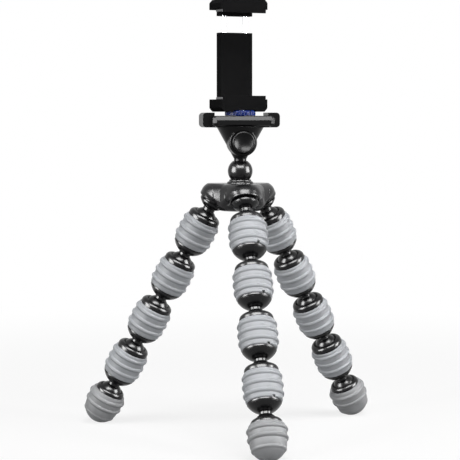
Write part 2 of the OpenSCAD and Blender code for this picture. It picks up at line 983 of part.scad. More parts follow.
for (leg = [0:len(LEGS) - 1]) {
    for (k = [1:LINKS]) {
        barrel(leg, k - 1);
        stud(leg, k - 1);
        sleeve(leg, k - 1);
    }
    foot_cup(leg);
    foot_boot(leg);
}
hub_shell();
hub_studs();
hub_cover();
hub_screws();
tension_bolt();
head_ball();
head_stem();
release_button();
button_spring();
release_plate();
camera_screw();
lock_ring();
clamp_frame();
lower_pad();
upper_jaw();
upper_pad();
guide_rods();
clamp_springs();
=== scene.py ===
import json
import math

import bpy
from mathutils import Matrix, Vector


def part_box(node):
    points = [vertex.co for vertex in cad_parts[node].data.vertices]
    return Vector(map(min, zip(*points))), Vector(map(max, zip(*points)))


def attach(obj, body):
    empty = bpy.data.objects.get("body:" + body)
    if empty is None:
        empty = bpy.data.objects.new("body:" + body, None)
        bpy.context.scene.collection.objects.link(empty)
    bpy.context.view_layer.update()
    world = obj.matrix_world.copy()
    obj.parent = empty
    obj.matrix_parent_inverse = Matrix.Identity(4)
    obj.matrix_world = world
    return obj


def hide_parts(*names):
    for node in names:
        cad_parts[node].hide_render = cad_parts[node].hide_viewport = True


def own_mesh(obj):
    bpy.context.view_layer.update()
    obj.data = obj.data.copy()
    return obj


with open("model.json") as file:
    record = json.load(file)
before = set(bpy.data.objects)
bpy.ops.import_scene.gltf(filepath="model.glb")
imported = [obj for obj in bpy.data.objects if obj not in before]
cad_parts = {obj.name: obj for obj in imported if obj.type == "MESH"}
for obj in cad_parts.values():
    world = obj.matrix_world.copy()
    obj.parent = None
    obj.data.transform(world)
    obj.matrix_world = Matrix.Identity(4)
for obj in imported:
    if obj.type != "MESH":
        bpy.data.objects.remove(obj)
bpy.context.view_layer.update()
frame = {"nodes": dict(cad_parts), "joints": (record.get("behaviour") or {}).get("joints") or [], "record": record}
nodes = frame["nodes"]
joints = {joint["name"]: joint for joint in frame["joints"]}
legNames = ("front", "right", "left")
linksPerLeg = 4
mm = 0.001
mergeGap = 0.001 * mm
print("frame loaded with", len(nodes), "nodes")


# Shader helpers

def place(tree, kind, spot, **settings):
    node = tree.nodes.new(kind)
    node.location = spot
    for name, value in settings.items():
        setattr(node, name, value)
    return node


def newGroup(name, inputs, outputs):
    group = bpy.data.node_groups.new(name, "ShaderNodeTree")
    for label, default in inputs:
        socket = group.interface.new_socket(label, in_out="INPUT", socket_type="NodeSocketFloat")
        socket.default_value = default
    for label, kind in outputs:
        group.interface.new_socket(label, in_out="OUTPUT", socket_type=kind)
    return group, place(group, "NodeGroupInput", (-900, 0)), place(group, "NodeGroupOutput", (700, 0))


noiseDetail = {"cloud": 4.0, "dust": 2.0, "grain": 3.0, "peel": 1.0, "turning": 3.0}


# Slow cloudy drift and sparse specks of dust over a moulded surface
def makeDriftGroup():
    group, source, result = newGroup(
        "mouldDrift", [("Cloud Scale", 60.0), ("Dust Scale", 900.0), ("Dust Share", 0.3)],
        [("Cloud", "NodeSocketFloat"), ("Dust", "NodeSocketFloat")])
    spot = place(group, "ShaderNodeTexCoord", (-900, 250))
    cloud = place(group, "ShaderNodeTexNoise", (-600, 250))
    cloud.inputs["Detail"].default_value = noiseDetail["cloud"]
    dust = place(group, "ShaderNodeTexNoise", (-600, -50))
    dust.inputs["Detail"].default_value = noiseDetail["dust"]
    dustEdge = place(group, "ShaderNodeMath", (-350, -250), operation="SUBTRACT")
    dustEdge.inputs[0].default_value = 1.0
    dustMask = place(group, "ShaderNodeMapRange", (-100, -50), interpolation_type="SMOOTHSTEP")
    dustMask.inputs["From Max"].default_value = 1.0
    link = group.links.new
    link(spot.outputs["Object"], cloud.inputs["Vector"])
    link(spot.outputs["Object"], dust.inputs["Vector"])
    link(source.outputs["Cloud Scale"], cloud.inputs["Scale"])
    link(source.outputs["Dust Scale"], dust.inputs["Scale"])
    link(source.outputs["Dust Share"], dustEdge.inputs[1])
    link(dust.outputs["Fac"], dustMask.inputs["Value"])
    link(dustEdge.outputs["Value"], dustMask.inputs["From Min"])
    link(cloud.outputs["Fac"], result.inputs["Cloud"])
    link(dustMask.outputs["Result"], result.inputs["Dust"])
    return group


# Fine moulded grain, as a height
def makeGrainGroup():
    group, source, result = newGroup(
        "mouldGrain", [("Grain Scale", 2500.0), ("Peel Scale", 300.0), ("Peel Share", 0.5)],
        [("Height", "NodeSocketFloat")])
    spot = place(group, "ShaderNodeTexCoord", (-900, 250))
    grain = place(group, "ShaderNodeTexNoise", (-600, 250))
    grain.inputs["Detail"].default_value = noiseDetail["grain"]
    peel = place(group, "ShaderNodeTexNoise", (-600, -50))
    peel.inputs["Detail"].default_value = noiseDetail["peel"]
    blend = place(group, "ShaderNodeMix", (-200, 100), data_type="FLOAT")
    link = group.links.new
    link(spot.outputs["Object"], grain.inputs["Vector"])
    link(spot.outputs["Object"], peel.inputs["Vector"])
    link(source.outputs["Grain Scale"], grain.inputs["Scale"])
    link(source.outputs["Peel Scale"], peel.inputs["Scale"])
    link(source.outputs["Peel Share"], blend.inputs["Factor"])
    link(grain.outputs["Fac"], blend.inputs["A"])
    link(peel.outputs["Fac"], blend.inputs["B"])
    link(blend.outputs["Result"], result.inputs["Height"])
    return group


edgeSoft = {"radius": 0.35 * mm, "samples": 6}


# Softened edges: a rounded normal, and a mask of where the edges are
def makeEdgeGroup():
    group, source, result = newGroup(
        "softEdge", [("Edge Low", 0.02), ("Edge High", 0.3)],
        [("Edge", "NodeSocketFloat"), ("Normal", "NodeSocketVector")])
    bevel = place(group, "ShaderNodeBevel", (-600, 250), samples=edgeSoft["samples"])
    bevel.inputs["Radius"].default_value = edgeSoft["radius"]
    flat = place(group, "ShaderNodeNewGeometry", (-600, -50))
    cosine = place(group, "ShaderNodeVectorMath", (-350, 100), operation="DOT_PRODUCT")
    turn = place(group, "ShaderNodeMath", (-150, 100), operation="SUBTRACT")
    turn.inputs[0].default_value = 1.0
    mask = place(group, "ShaderNodeMapRange", (100, 100))
    link = group.links.new
    link(bevel.outputs["Normal"], cosine.inputs[0])
    link(flat.outputs["Normal"], cosine.inputs[1])
    link(cosine.outputs["Value"], turn.inputs[1])
    link(turn.outputs["Value"], mask.inputs["Value"])
    link(source.outputs["Edge Low"], mask.inputs["From Min"])
    link(source.outputs["Edge High"], mask.inputs["From Max"])
    link(mask.outputs["Result"], result.inputs["Edge"])
    link(bevel.outputs["Normal"], result.inputs["Normal"])
    return group


driftGroup = makeDriftGroup()
grainGroup = makeGrainGroup()
edgeGroup = makeEdgeGroup()


def mixColour(tree, spot, amount, first, second):
    mix = place(tree, "ShaderNodeMix", spot, data_type="RGBA")
    tree.links.new(amount, mix.inputs["Factor"])
    for socket, value in ((mix.inputs[6], first), (mix.inputs[7], second)):
        if isinstance(value, tuple):
            socket.default_value = (*value, 1.0)
        else:
            tree.links.new(value, socket)
    return mix.outputs[2]


# A moulded plastic or rubber: cloudy colour, dust, worn edges, uneven gloss and fine grain
def makeMoulded(look):
    material = bpy.data.materials.new(look["name"])
    material.use_nodes = True
    tree = material.node_tree
    link = tree.links.new
    shader = tree.nodes["Principled BSDF"]
    shader.inputs["Specular IOR Level"].default_value = look["specular"]
    drift = place(tree, "ShaderNodeGroup", (-1100, 250), node_tree=driftGroup)
    drift.inputs["Cloud Scale"].default_value = look["cloudScale"]
    drift.inputs["Dust Share"].default_value = look["dustShare"]
    edge = place(tree, "ShaderNodeGroup", (-1100, -350), node_tree=edgeGroup)
    grain = place(tree, "ShaderNodeGroup", (-1100, -50), node_tree=grainGroup)
    grain.inputs["Grain Scale"].default_value = look["grainScale"]
    grain.inputs["Peel Share"].default_value = look["peelShare"]
    cloudy = mixColour(tree, (-800, 350), drift.outputs["Cloud"], look["colour"], look["cloudColour"])
    worn = mixColour(tree, (-600, 350), edge.outputs["Edge"], cloudy, look["edgeColour"])
    dusty = mixColour(tree, (-400, 350), drift.outputs["Dust"], worn, look["dustColour"])
    gloss = place(tree, "ShaderNodeMapRange", (-400, 100))
    gloss.inputs["To Min"].default_value = look["roughLow"]
    gloss.inputs["To Max"].default_value = look["roughHigh"]
    bump = place(tree, "ShaderNodeBump", (-400, -200))
    bump.inputs["Strength"].default_value = look["bump"]
    bump.inputs["Distance"].default_value = look["bumpDepth"]
    link(drift.outputs["Cloud"], gloss.inputs["Value"])
    link(grain.outputs["Height"], bump.inputs["Height"])
    link(edge.outputs["Normal"], bump.inputs["Normal"])
    link(dusty, shader.inputs["Base Color"])
    link(gloss.outputs["Result"], shader.inputs["Roughness"])
    link(bump.outputs["Normal"], shader.inputs["Normal"])
    return material


glossBlackLook = {
    "name": "glossBlack", "colour": (0.004, 0.004, 0.0045), "cloudColour": (0.007, 0.007, 0.008),
    "edgeColour": (0.02, 0.02, 0.022), "dustColour": (0.05, 0.05, 0.05), "dustShare": 0.24,
    "cloudScale": 45.0, "roughLow": 0.2, "roughHigh": 0.28, "specular": 0.2,
    "grainScale": 1800.0, "peelShare": 0.8, "bump": 0.06, "bumpDepth": 0.2 * mm}
satinBlackLook = {
    "name": "satinBlack", "colour": (0.003, 0.003, 0.0033), "cloudColour": (0.006, 0.006, 0.0065),
    "edgeColour": (0.03, 0.03, 0.032), "dustColour": (0.05, 0.05, 0.05), "dustShare": 0.25,
    "cloudScale": 60.0, "roughLow": 0.26, "roughHigh": 0.36, "specular": 0.08,
    "grainScale": 2600.0, "peelShare": 0.25, "bump": 0.18, "bumpDepth": 0.12 * mm}
matteBlackLook = {
    **satinBlackLook, "name": "matteBlack", "colour": (0.011, 0.011, 0.0115),
    "cloudColour": (0.015, 0.015, 0.0155), "roughLow": 0.48, "roughHigh": 0.6, "specular": 0.0}
sleeveRubberLook = {
    "name": "sleeveRubber", "colour": (0.405, 0.42, 0.445), "cloudColour": (0.455, 0.47, 0.495),
    "edgeColour": (0.51, 0.52, 0.535), "dustColour": (0.33, 0.335, 0.34), "dustShare": 0.27,
    "cloudScale": 80.0, "roughLow": 0.5, "roughHigh": 0.62, "specular": 0.15,
    "grainScale": 2200.0, "peelShare": 0.4, "bump": 0.14, "bumpDepth": 0.12 * mm}
bootRubberLook = {
    **sleeveRubberLook, "name": "bootRubber", "colour": (0.32, 0.325, 0.335),
    "cloudColour": (0.365, 0.37, 0.38), "edgeColour": (0.41, 0.415, 0.42)}
padRubberLook = {
    "name": "padRubber", "colour": (0.018, 0.018, 0.019), "cloudColour": (0.028, 0.028, 0.03),
    "edgeColour": (0.05, 0.05, 0.052), "dustColour": (0.09, 0.09, 0.09), "dustShare": 0.3,
    "cloudScale": 120.0, "roughLow": 0.6, "roughHigh": 0.75, "specular": 0.35,
    "grainScale": 3000.0, "peelShare": 0.2, "bump": 0.25, "bumpDepth": 0.12 * mm}
bluePlasticLook = {
    "name": "bluePlastic", "colour": (0.003, 0.016, 0.13), "cloudColour": (0.004, 0.021, 0.17),
    "edgeColour": (0.005, 0.028, 0.2), "dustColour": (0.03, 0.05, 0.16), "dustShare": 0.2,
    "cloudScale": 60.0, "roughLow": 0.34, "roughHigh": 0.44, "specular": 0.07,
    "grainScale": 2200.0, "peelShare": 0.5, "bump": 0.1, "bumpDepth": 0.12 * mm}
plasticLooks = (
    glossBlackLook, satinBlackLook, matteBlackLook, sleeveRubberLook, bootRubberLook, padRubberLook,
    bluePlasticLook)
finishes = {look["name"]: makeMoulded(look) for look in plasticLooks}


# Zinc-plated steel with fine turning marks round the upright axis
zincSteelLook = {
    "name": "zincSteel", "colour": (0.55, 0.56, 0.58), "shade": (0.44, 0.45, 0.46), "roughLow": 0.22,
    "roughHigh": 0.38, "turnScale": (60.0, 60.0, 2400.0), "bump": 0.12, "bumpDepth": 0.05 * mm}


def makeSteel(look):
    material = bpy.data.materials.new(look["name"])
    material.use_nodes = True
    tree = material.node_tree
    link = tree.links.new
    shader = tree.nodes["Principled BSDF"]
    shader.inputs["Metallic"].default_value = 1.0
    spot = place(tree, "ShaderNodeTexCoord", (-1200, 0))
    stretch = place(tree, "ShaderNodeMapping", (-1000, 0))
    stretch.inputs["Scale"].default_value = look["turnScale"]
    marks = place(tree, "ShaderNodeTexNoise", (-800, 0))
    marks.inputs["Scale"].default_value = 1.0
    marks.inputs["Detail"].default_value = noiseDetail["turning"]
    drift = place(tree, "ShaderNodeGroup", (-800, 300), node_tree=driftGroup)
    gloss = place(tree, "ShaderNodeMapRange", (-400, 0))
    gloss.inputs["To Min"].default_value = look["roughLow"]
    gloss.inputs["To Max"].default_value = look["roughHigh"]
    bump = place(tree, "ShaderNodeBump", (-400, -250))
    bump.inputs["Strength"].default_value = look["bump"]
    bump.inputs["Distance"].default_value = look["bumpDepth"]
    link(spot.outputs["Object"], stretch.inputs["Vector"])
    link(stretch.outputs["Vector"], marks.inputs["Vector"])
    link(marks.outputs["Fac"], gloss.inputs["Value"])
    link(marks.outputs["Fac"], bump.inputs["Height"])
    link(mixColour(tree, (-400, 300), drift.outputs["Cloud"], look["shade"], look["colour"]),
         shader.inputs["Base Color"])
    link(gloss.outputs["Result"], shader.inputs["Roughness"])
    link(bump.outputs["Normal"], shader.inputs["Normal"])
    return material


finishes["zincSteel"] = makeSteel(zincSteelLook)
print("finishes made:", len(finishes))

# The record's slots and the finish that each one gets
slotFinishes = {
    "gloss_black": "glossBlack", "satin_black": "satinBlack", "sleeve_rubber": "sleeveRubber",
    "boot_rubber": "bootRubber", "pad_rubber": "padRubber", "blue_plastic": "bluePlastic",
    "steel": "zincSteel"}


def paint(piece, finish):
    piece.data.materials.clear()
    piece.data.materials.append(finishes[finish])


for subpart in frame["record"]["subparts"]:
    paint(nodes[subpart["node"]], slotFinishes[subpart["material_slot"]])
for node in ("clamp_frame", "upper_jaw"):
    paint(nodes[node], "matteBlack")  # the clamp's moulding is duller than the head's
print("solids painted")


# Modelling helpers

def deselect():
    if bpy.context.object is not None and bpy.context.object.mode != "OBJECT":
        bpy.ops.object.mode_set(mode="OBJECT")
    bpy.ops.object.select_all(action="DESELECT")


def take(piece):
    deselect()
    piece.select_set(True)
    bpy.context.view_layer.objects.active = piece


def editAll(piece):
    take(piece)
    bpy.ops.object.mode_set(mode="EDIT")
    bpy.ops.mesh.select_mode(type="VERT")
    bpy.ops.mesh.select_all(action="SELECT")


# Opens edit mode with only the faces chosen that pass the test
def editFaces(piece, test):
    take(piece)
    bpy.ops.object.mode_set(mode="EDIT")
    bpy.ops.mesh.select_mode(type="FACE")
    bpy.ops.mesh.select_all(action="DESELECT")
    bpy.ops.object.mode_set(mode="OBJECT")
    for face in piece.data.polygons:
        face.select = test(face)
    bpy.ops.object.mode_set(mode="EDIT")


def closeUp(piece):
    editAll(piece)
    bpy.ops.mesh.remove_doubles(threshold=mergeGap)
    bpy.ops.mesh.fill_holes(sides=0)
    bpy.ops.mesh.normals_make_consistent(inside=False)
    bpy.ops.object.mode_set(mode="OBJECT")


def smooth(piece, degrees):
    take(piece)
    bpy.ops.object.shade_smooth_by_angle(angle=math.radians(degrees))


def applyModifier(piece, name):
    take(piece)
    bpy.ops.object.modifier_apply(modifier=name)


def bevelEdges(piece, width, segments, degrees):
    edge = piece.modifiers.new("edge", "BEVEL")
    edge.width, edge.segments = width, segments
    edge.limit_method, edge.angle_limit = "ANGLE", math.radians(degrees)
    applyModifier(piece, "edge")


def cutAway(piece, cutter):
    cut = piece.modifiers.new("cut", "BOOLEAN")
    cut.operation, cut.solver, cut.object = "DIFFERENCE", "EXACT", cutter
    applyModifier(piece, "cut")
    bpy.data.objects.remove(cutter)


# Draws a ring and pulls it along the outline, as a lathe would; outline points are (radius, height)
def lathe(name, outline, sides):
    deselect()
    radius, height = outline[0]
    bpy.ops.mesh.primitive_circle_add(vertices=sides, radius=radius, location=(0, 0, height))
    piece = bpy.context.object
    piece.name = name
    bpy.ops.object.transform_apply(location=True)
    editAll(piece)
    for nextRadius, nextHeight in outline[1:]:
        bpy.ops.mesh.extrude_region_move(TRANSFORM_OT_translate={"value": (0, 0, nextHeight - height)})
        grow = nextRadius / radius
        bpy.ops.transform.resize(value=(grow, grow, 1), center_override=(0, 0, nextHeight))
        radius, height = nextRadius, nextHeight
    closeUp(piece)
    return piece


def addBlock(name, low, high):
    deselect()
    low, high = Vector(low), Vector(high)
    bpy.ops.mesh.primitive_cube_add(size=1, location=(low + high) / 2)
    piece = bpy.context.object
    piece.name = name
    piece.scale = high - low
    bpy.ops.object.transform_apply(location=True, scale=True)
    return piece


# A wire wound round +Z from height 0
def windCoil(name, size):
    deselect()
    bpy.ops.mesh.primitive_circle_add(
        vertices=size["wireSides"], radius=size["wire"], location=(size["coil"], 0, size["wire"]),
        rotation=(math.radians(90), 0, 0))
    piece = bpy.context.object
    piece.name = name
    bpy.ops.object.transform_apply(location=True, rotation=True)
    coil = piece.modifiers.new("coil", "SCREW")
    coil.steps = coil.render_steps = size["stepsPerTurn"]
    coil.iterations = size["turns"]
    coil.screw_offset = (size["length"] - 2 * size["wire"]) / size["turns"]
    applyModifier(piece, "coil")
    closeUp(piece)
    smooth(piece, size["crease"])
    return piece


def copyTo(template, name, spot):
    piece = template.copy()
    piece.data = template.data.copy()
    piece.name = piece.data.name = name
    piece.data.transform(spot)
    bpy.context.scene.collection.objects.link(piece)
    return piece


def joinCopies(template, name, spots):
    copies = [copyTo(template, name, spot) for spot in spots]
    deselect()
    for piece in copies:
        piece.select_set(True)
    bpy.context.view_layer.objects.active = copies[0]
    bpy.ops.object.join()
    copies[0].name = name
    return copies[0]


# Puts a new piece under its body, hides the solid that it stands for, and paints it with its slot's finish
def fit(piece, body, node, slot):
    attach(piece, body)
    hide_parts(node)
    paint(piece, slotFinishes[slot])


# The place of a leg's ball k, with +Z up the leg and +X across it
def ballPlace(leg, k):
    ball = Vector(joints[f"{leg}_ball_{k + 1}"]["pos_m"])
    first = Vector(joints[f"{leg}_ball_1"]["pos_m"])
    last = Vector(joints[f"{leg}_ball_{linksPerLeg + 1}"]["pos_m"])
    up = (first - last).normalized()
    across = Vector(joints[f"{leg}_ball_1"]["axis"]).normalized()
    turn = Matrix((across, up.cross(across), up)).transposed().to_4x4()
    return Matrix.Translation(ball) @ turn


# How far a round rib stands out at a distance from its middle, eased into the surface
def ribLift(away, rise, size):
    lift = rise - size["ribRound"] + math.sqrt(max(size["ribRound"] ** 2 - away ** 2, 0.0))
    return (lift + math.hypot(lift, size["ribEase"])) / 2


# How far a rounded end falls back at a distance from it
def endFall(away, edge):
    return edge - math.sqrt(max(edge ** 2 - (edge - away) ** 2, 0.0)) if away < edge else 0.0


# Distances from an end, close together where it is rounded
def endSteps(edge, count):
    return [edge * (1 - math.cos(math.radians(90 * i / count))) for i in range(count)]


# Grip sleeves: soft tubes with round ribs, over the barrels

sleeveSize = {
    "length": 20.5 * mm, "inside": 10.45 * mm, "middle": 12.6 * mm, "bellyArc": 85 * mm, "edge": 1.0 * mm,
    "ribSpots": (-3.45 * mm, -9.55 * mm, -15.65 * mm), "ribRise": 1.0 * mm, "ribRound": 1.5 * mm,
    "ribEase": 0.12 * mm, "notchAngle": 22, "notchHalf": 1.1 * mm, "notchHigh": 1.6 * mm, "reach": 20 * mm,
    "steps": 92, "endSteps": 6, "sides": 96, "crease": 40}


def sleeveOutline(size):
    length, edge, belly = size["length"], size["edge"], size["bellyArc"]
    ends = endSteps(edge, size["endSteps"])
    downs = ends + [edge + (length - 2 * edge) * i / size["steps"] for i in range(size["steps"] + 1)]
    downs += [length - end for end in reversed(ends)]
    outline = []
    for down in downs:
        radius = size["middle"] - belly + math.sqrt(belly ** 2 - (down - length / 2) ** 2)
        radius += sum(ribLift(-down - spot, size["ribRise"], size) for spot in size["ribSpots"])
        outline.append((radius - endFall(min(down, length - down), edge), -down))
    return outline + [(size["inside"], -length), (size["inside"], 0.0), outline[0]]


# The notch in the sleeve's lower edge, where the stud's key stands
def cutNotch(piece, size):
    half, low = size["notchHalf"], -size["length"]
    cutter = addBlock("notch", (-half, -size["reach"], 2 * low), (half, 0, low + size["notchHigh"]))
    cutter.data.transform(Matrix.Rotation(math.radians(size["notchAngle"]), 4, "Z"))
    cutAway(piece, cutter)


sleeve = lathe("sleeveGrip", sleeveOutline(sleeveSize), sleeveSize["sides"])
cutNotch(sleeve, sleeveSize)
smooth(sleeve, sleeveSize["crease"])
for leg in legNames:
    for k in range(linksPerLeg):
        grip = copyTo(sleeve, f"{leg}Grip{k + 1}", ballPlace(leg, k))
        fit(grip, f"{leg}_link_{k + 1}", f"{leg}_sleeve_{k + 1}", "sleeve_rubber")
bpy.data.objects.remove(sleeve)
print("grip sleeves made")


# Foot boots: ribbed rubber with a round tip, flat where it stands

bootSize = {
    "inside": 10.05 * mm, "floor": -11.35 * mm, "top": 1.0 * mm, "edge": 1.0 * mm, "belly": 12.7 * mm,
    "bellyArc": 20 * mm, "bellyMiddle": -5.65 * mm, "tipRound": 12.1 * mm, "tipMiddle": -11.3 * mm,
    "ribSpots": (-3.05 * mm, -9.15 * mm), "ribRise": 1.0 * mm, "ribRound": 1.5 * mm, "ribEase": 0.12 * mm,
    "tipRibAngle": -26, "tipRibRise": 0.5 * mm, "steps": 60, "endSteps": 6, "tipSteps": 44, "sides": 96,
    "pole": 0.02 * mm, "crease": 40}


def bootOutline(size):
    top, middle, belly = size["top"], size["tipMiddle"], size["bellyArc"]
    tip, edge = size["tipRound"], size["edge"]
    downs = endSteps(edge, size["endSteps"])
    downs += [edge + (top - middle - edge) * i / size["steps"] for i in range(size["steps"] + 1)]
    outline = [(size["inside"], size["floor"]), (size["inside"], top)]
    for down in downs:
        z = top - down
        side = size["belly"] - belly + math.sqrt(belly ** 2 - (z - size["bellyMiddle"]) ** 2)
        radius = max(side, math.sqrt(max(tip ** 2 - (z - middle) ** 2, 0.0)))
        radius += sum(ribLift(z - spot, size["ribRise"], size) for spot in size["ribSpots"])
        outline.append((radius - endFall(down, edge), z))
    for i in range(1, size["tipSteps"]):
        angle = -90 * i / size["tipSteps"]
        away = math.radians(angle - size["tipRibAngle"]) * tip
        reach = tip + ribLift(away, size["tipRibRise"], size)
        turn = math.radians(angle)
        outline.append((reach * math.cos(turn), middle + reach * math.sin(turn)))
    return outline + [(size["pole"], middle - tip)]


boot = lathe("footBoot", bootOutline(bootSize), bootSize["sides"])
for leg in legNames:
    foot = copyTo(boot, f"{leg}Boot", ballPlace(leg, linksPerLeg))
    editAll(foot)
    bpy.ops.mesh.bisect(
        plane_co=(0, 0, 0), plane_no=(0, 0, 1), use_fill=True, clear_inner=True, threshold=mergeGap)
    bpy.ops.object.mode_set(mode="OBJECT")
    smooth(foot, bootSize["crease"])
    fit(foot, f"{leg}_foot", f"{leg}_foot_boot", "boot_rubber")
bpy.data.objects.remove(boot)
print("foot boots made")


# Jaw pads: rubber strips with grip grooves that stop short of their ends

clampAngle = 15
clampTurn = Matrix.Rotation(math.radians(clampAngle), 4, "Z")
padSize = {
    "halfWidth": 16 * mm, "front": -6.3 * mm, "back": 5.2 * mm,
    "grooveSpots": [(-4.4 + 2 * i) * mm for i in range(5)], "grooveWidth": 0.9 * mm, "grooveDepth": 0.5 * mm,
    "grooveEnd": 14.6 * mm, "edge": 0.16 * mm, "edgeSteps": 3, "edgeAngle": 40, "crease": 50, "level": 0.9}


def makePad(name, node, body, facing, size):
    low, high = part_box(node)
    half = size["halfWidth"]
    pad = addBlock(name, (-half, size["front"], low.z), (half, size["back"], high.z))
    editAll(pad)
    for spot in size["grooveSpots"]:
        for y in (spot - size["grooveWidth"] / 2, spot + size["grooveWidth"] / 2):
            bpy.ops.mesh.select_all(action="SELECT")
            bpy.ops.mesh.bisect(plane_co=(0, y, 0), plane_no=(0, 1, 0))
    for x in (-size["grooveEnd"], size["grooveEnd"]):
        bpy.ops.mesh.select_all(action="SELECT")
        bpy.ops.mesh.bisect(plane_co=(x, 0, 0), plane_no=(1, 0, 0))
    bpy.ops.object.mode_set(mode="OBJECT")
    editFaces(pad, lambda face: (
        face.normal.z * facing > size["level"] and abs(face.center.x) < size["grooveEnd"]
        and any(abs(face.center.y - spot) < size["grooveWidth"] / 2 for spot in size["grooveSpots"])))
    bpy.ops.mesh.extrude_region_move(TRANSFORM_OT_translate={"value": (0, 0, -facing * size["grooveDepth"])})
    bpy.ops.object.mode_set(mode="OBJECT")
    bevelEdges(pad, size["edge"], size["edgeSteps"], size["edgeAngle"])
    smooth(pad, size["crease"])
    pad.data.transform(clampTurn)
    fit(pad, body, node, "pad_rubber")


makePad("lowerGripPad", "lower_pad", "clamp", 1, padSize)
makePad("upperGripPad", "upper_pad", "jaw", -1, padSize)
print("jaw pads made")


# Springs: two inside the clamp's column and one behind the release button

clampSpringSize = {
    "wire": 0.4 * mm, "coil": 2.1 * mm, "length": 39.2 * mm, "turns": 14, "stepsPerTurn": 24, "wireSides": 10,
    "crease": 60, "rodSpots": (-8 * mm, 8 * mm), "rodDepth": 9.5 * mm, "travel": 25 * mm}
buttonSpringSize = {
    "wire": 0.4 * mm, "coil": 3.6 * mm, "length": 5.7 * mm, "turns": 4, "stepsPerTurn": 28, "wireSides": 10,
    "crease": 60, "seat": -4.6 * mm, "travel": 2 * mm}

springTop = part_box("clamp_springs")[1].z
coil = windCoil("clampCoil", clampSpringSize)
pair = joinCopies(coil, "clampSpringPair", [
    clampTurn @ Matrix.Translation((x, clampSpringSize["rodDepth"], springTop - clampSpringSize["length"]))
    for x in clampSpringSize["rodSpots"]])
bpy.data.objects.remove(coil)
fit(pair, "clamp", "clamp_springs", "steel")
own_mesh(pair)

low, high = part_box("button_spring")
returnSpring = windCoil("buttonReturnSpring", buttonSpringSize)
returnSpring.data.transform(
    Matrix.Translation((0, buttonSpringSize["seat"], (low.z + high.z) / 2))
    @ Matrix.Rotation(math.radians(90), 4, "X"))
fit(returnSpring, "head", "button_spring", "steel")
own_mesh(returnSpring)
print("springs made")


# Cover screws under the hub, each with a cross recess

coverScrewSize = {
    "head": 1.6 * mm, "headHigh": 1.0 * mm, "edge": 0.3 * mm, "shank": 0.8 * mm, "length": 7 * mm,
    "pole": 0.02 * mm, "circle": 7.55 * mm, "slotLong": 1.0 * mm, "slotWide": 0.22 * mm,
    "slotDeep": 0.55 * mm, "sides": 40, "count": 3, "turn": 60, "crease": 35}


def makeCoverScrew(size):
    head, edge = size["head"], size["edge"]
    screw = lathe("coverScrew", [
        (size["pole"], 0.0), (head - edge, 0.0), (head, edge), (head, size["headHigh"]),
        (size["shank"], size["headHigh"]), (size["shank"], size["length"] - size["shank"]),
        (size["pole"], size["length"])], size["sides"])
    long, wide, deep = size["slotLong"], size["slotWide"], size["slotDeep"]
    for reach in ((long, wide), (wide, long)):
        cutAway(screw, addBlock("recess", (-reach[0], -reach[1], -deep), (reach[0], reach[1], deep)))
    smooth(screw, size["crease"])
    return screw


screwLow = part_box("hub_screws")[0].z
screw = makeCoverScrew(coverScrewSize)
screwSet = joinCopies(screw, "coverScrewSet", [
    Matrix.Rotation(math.radians(coverScrewSize["turn"] + 360 * i / coverScrewSize["count"]), 4, "Z")
    @ Matrix.Translation((0, -coverScrewSize["circle"], screwLow)) for i in range(coverScrewSize["count"])])
bpy.data.objects.remove(screw)
fit(screwSet, "hub", "hub_screws", "steel")
print("cover screws made")


# Hub: the solid's shape with broad fillets between body and lobes, as a moulding has them

hubSize = {
    "body": 17.5 * mm, "bodyLow": 6.5 * mm, "bodyHigh": 25 * mm, "bodyRound": 4.5 * mm,
    "lobe": 10.9 * mm, "lobeLow": 9 * mm, "lobeHigh": 26 * mm, "lobeRound": 7 * mm,
    "grain": 0.35 * mm, "skin": 0.3 * mm, "blend": 11 * mm, "probe": 0.05 * mm, "steps": 3,
    "fadeLow": 17 * mm, "fadeHigh": 20 * mm, "roof": 25.4 * mm, "evenPasses": 4,
    "evenShare": 0.5, "crease": 40}


# Distance of a point from a cylinder with rounded ends, less than zero inside
def cylinderGap(out, up, radius, low, high, corner):
    across = out - radius + corner
    along = abs(up - (low + high) / 2) - (high - low) / 2 + corner
    return math.hypot(max(across, 0.0), max(along, 0.0)) + min(max(across, along), 0.0) - corner


# Distances of a point from the hub's body and from its nearest lobe, and how far up that lobe it is
def hubGaps(point, sockets, height, size):
    body = cylinderGap(math.hypot(point.x, point.y), point.z - height, size["body"], size["bodyLow"],
                       size["bodyHigh"], size["bodyRound"])
    lobe, along = min(
        (cylinderGap(math.hypot(spot.x, spot.y), spot.z, size["lobe"], size["lobeLow"], size["lobeHigh"],
                     size["lobeRound"]), spot.z) for spot in (socket @ point for socket in sockets))
    return body, lobe, along


# Distance of a point from the blended form, in which body and lobe run into each other
def blendGap(point, sockets, height, size):
    body, lobe, _ = hubGaps(point, sockets, height, size)
    near = max(1 - abs(body - lobe) / size["blend"], 0.0)
    return min(body, lobe) - near ** 2 * size["blend"] / 4


# Moves a point of the solid's skin out to the blended form, less and less towards the lobe's open end
def fillet(point, sockets, height, size):
    body, lobe, along = hubGaps(point, sockets, height, size)
    share = min(max((along - size["fadeLow"]) / (size["fadeHigh"] - size["fadeLow"]), 0.0), 1.0)
    if abs(min(body, lobe)) > size["skin"] or abs(body - lobe) > size["blend"] or share == 0:
        return point
    moved, probe = point.copy(), size["probe"]
    for _ in range(size["steps"]):
        gap = blendGap(moved, sockets, height, size)
        slope = Vector(
            (blendGap(moved + Vector(step) * probe, sockets, height, size) - gap) / probe
            for step in ((1, 0, 0), (0, 1, 0), (0, 0, 1)))
        moved -= slope * (gap / slope.length_squared)
    moved = point.lerp(moved, share)
    moved.z = min(moved.z, max(point.z, height + size["roof"]))
    return moved


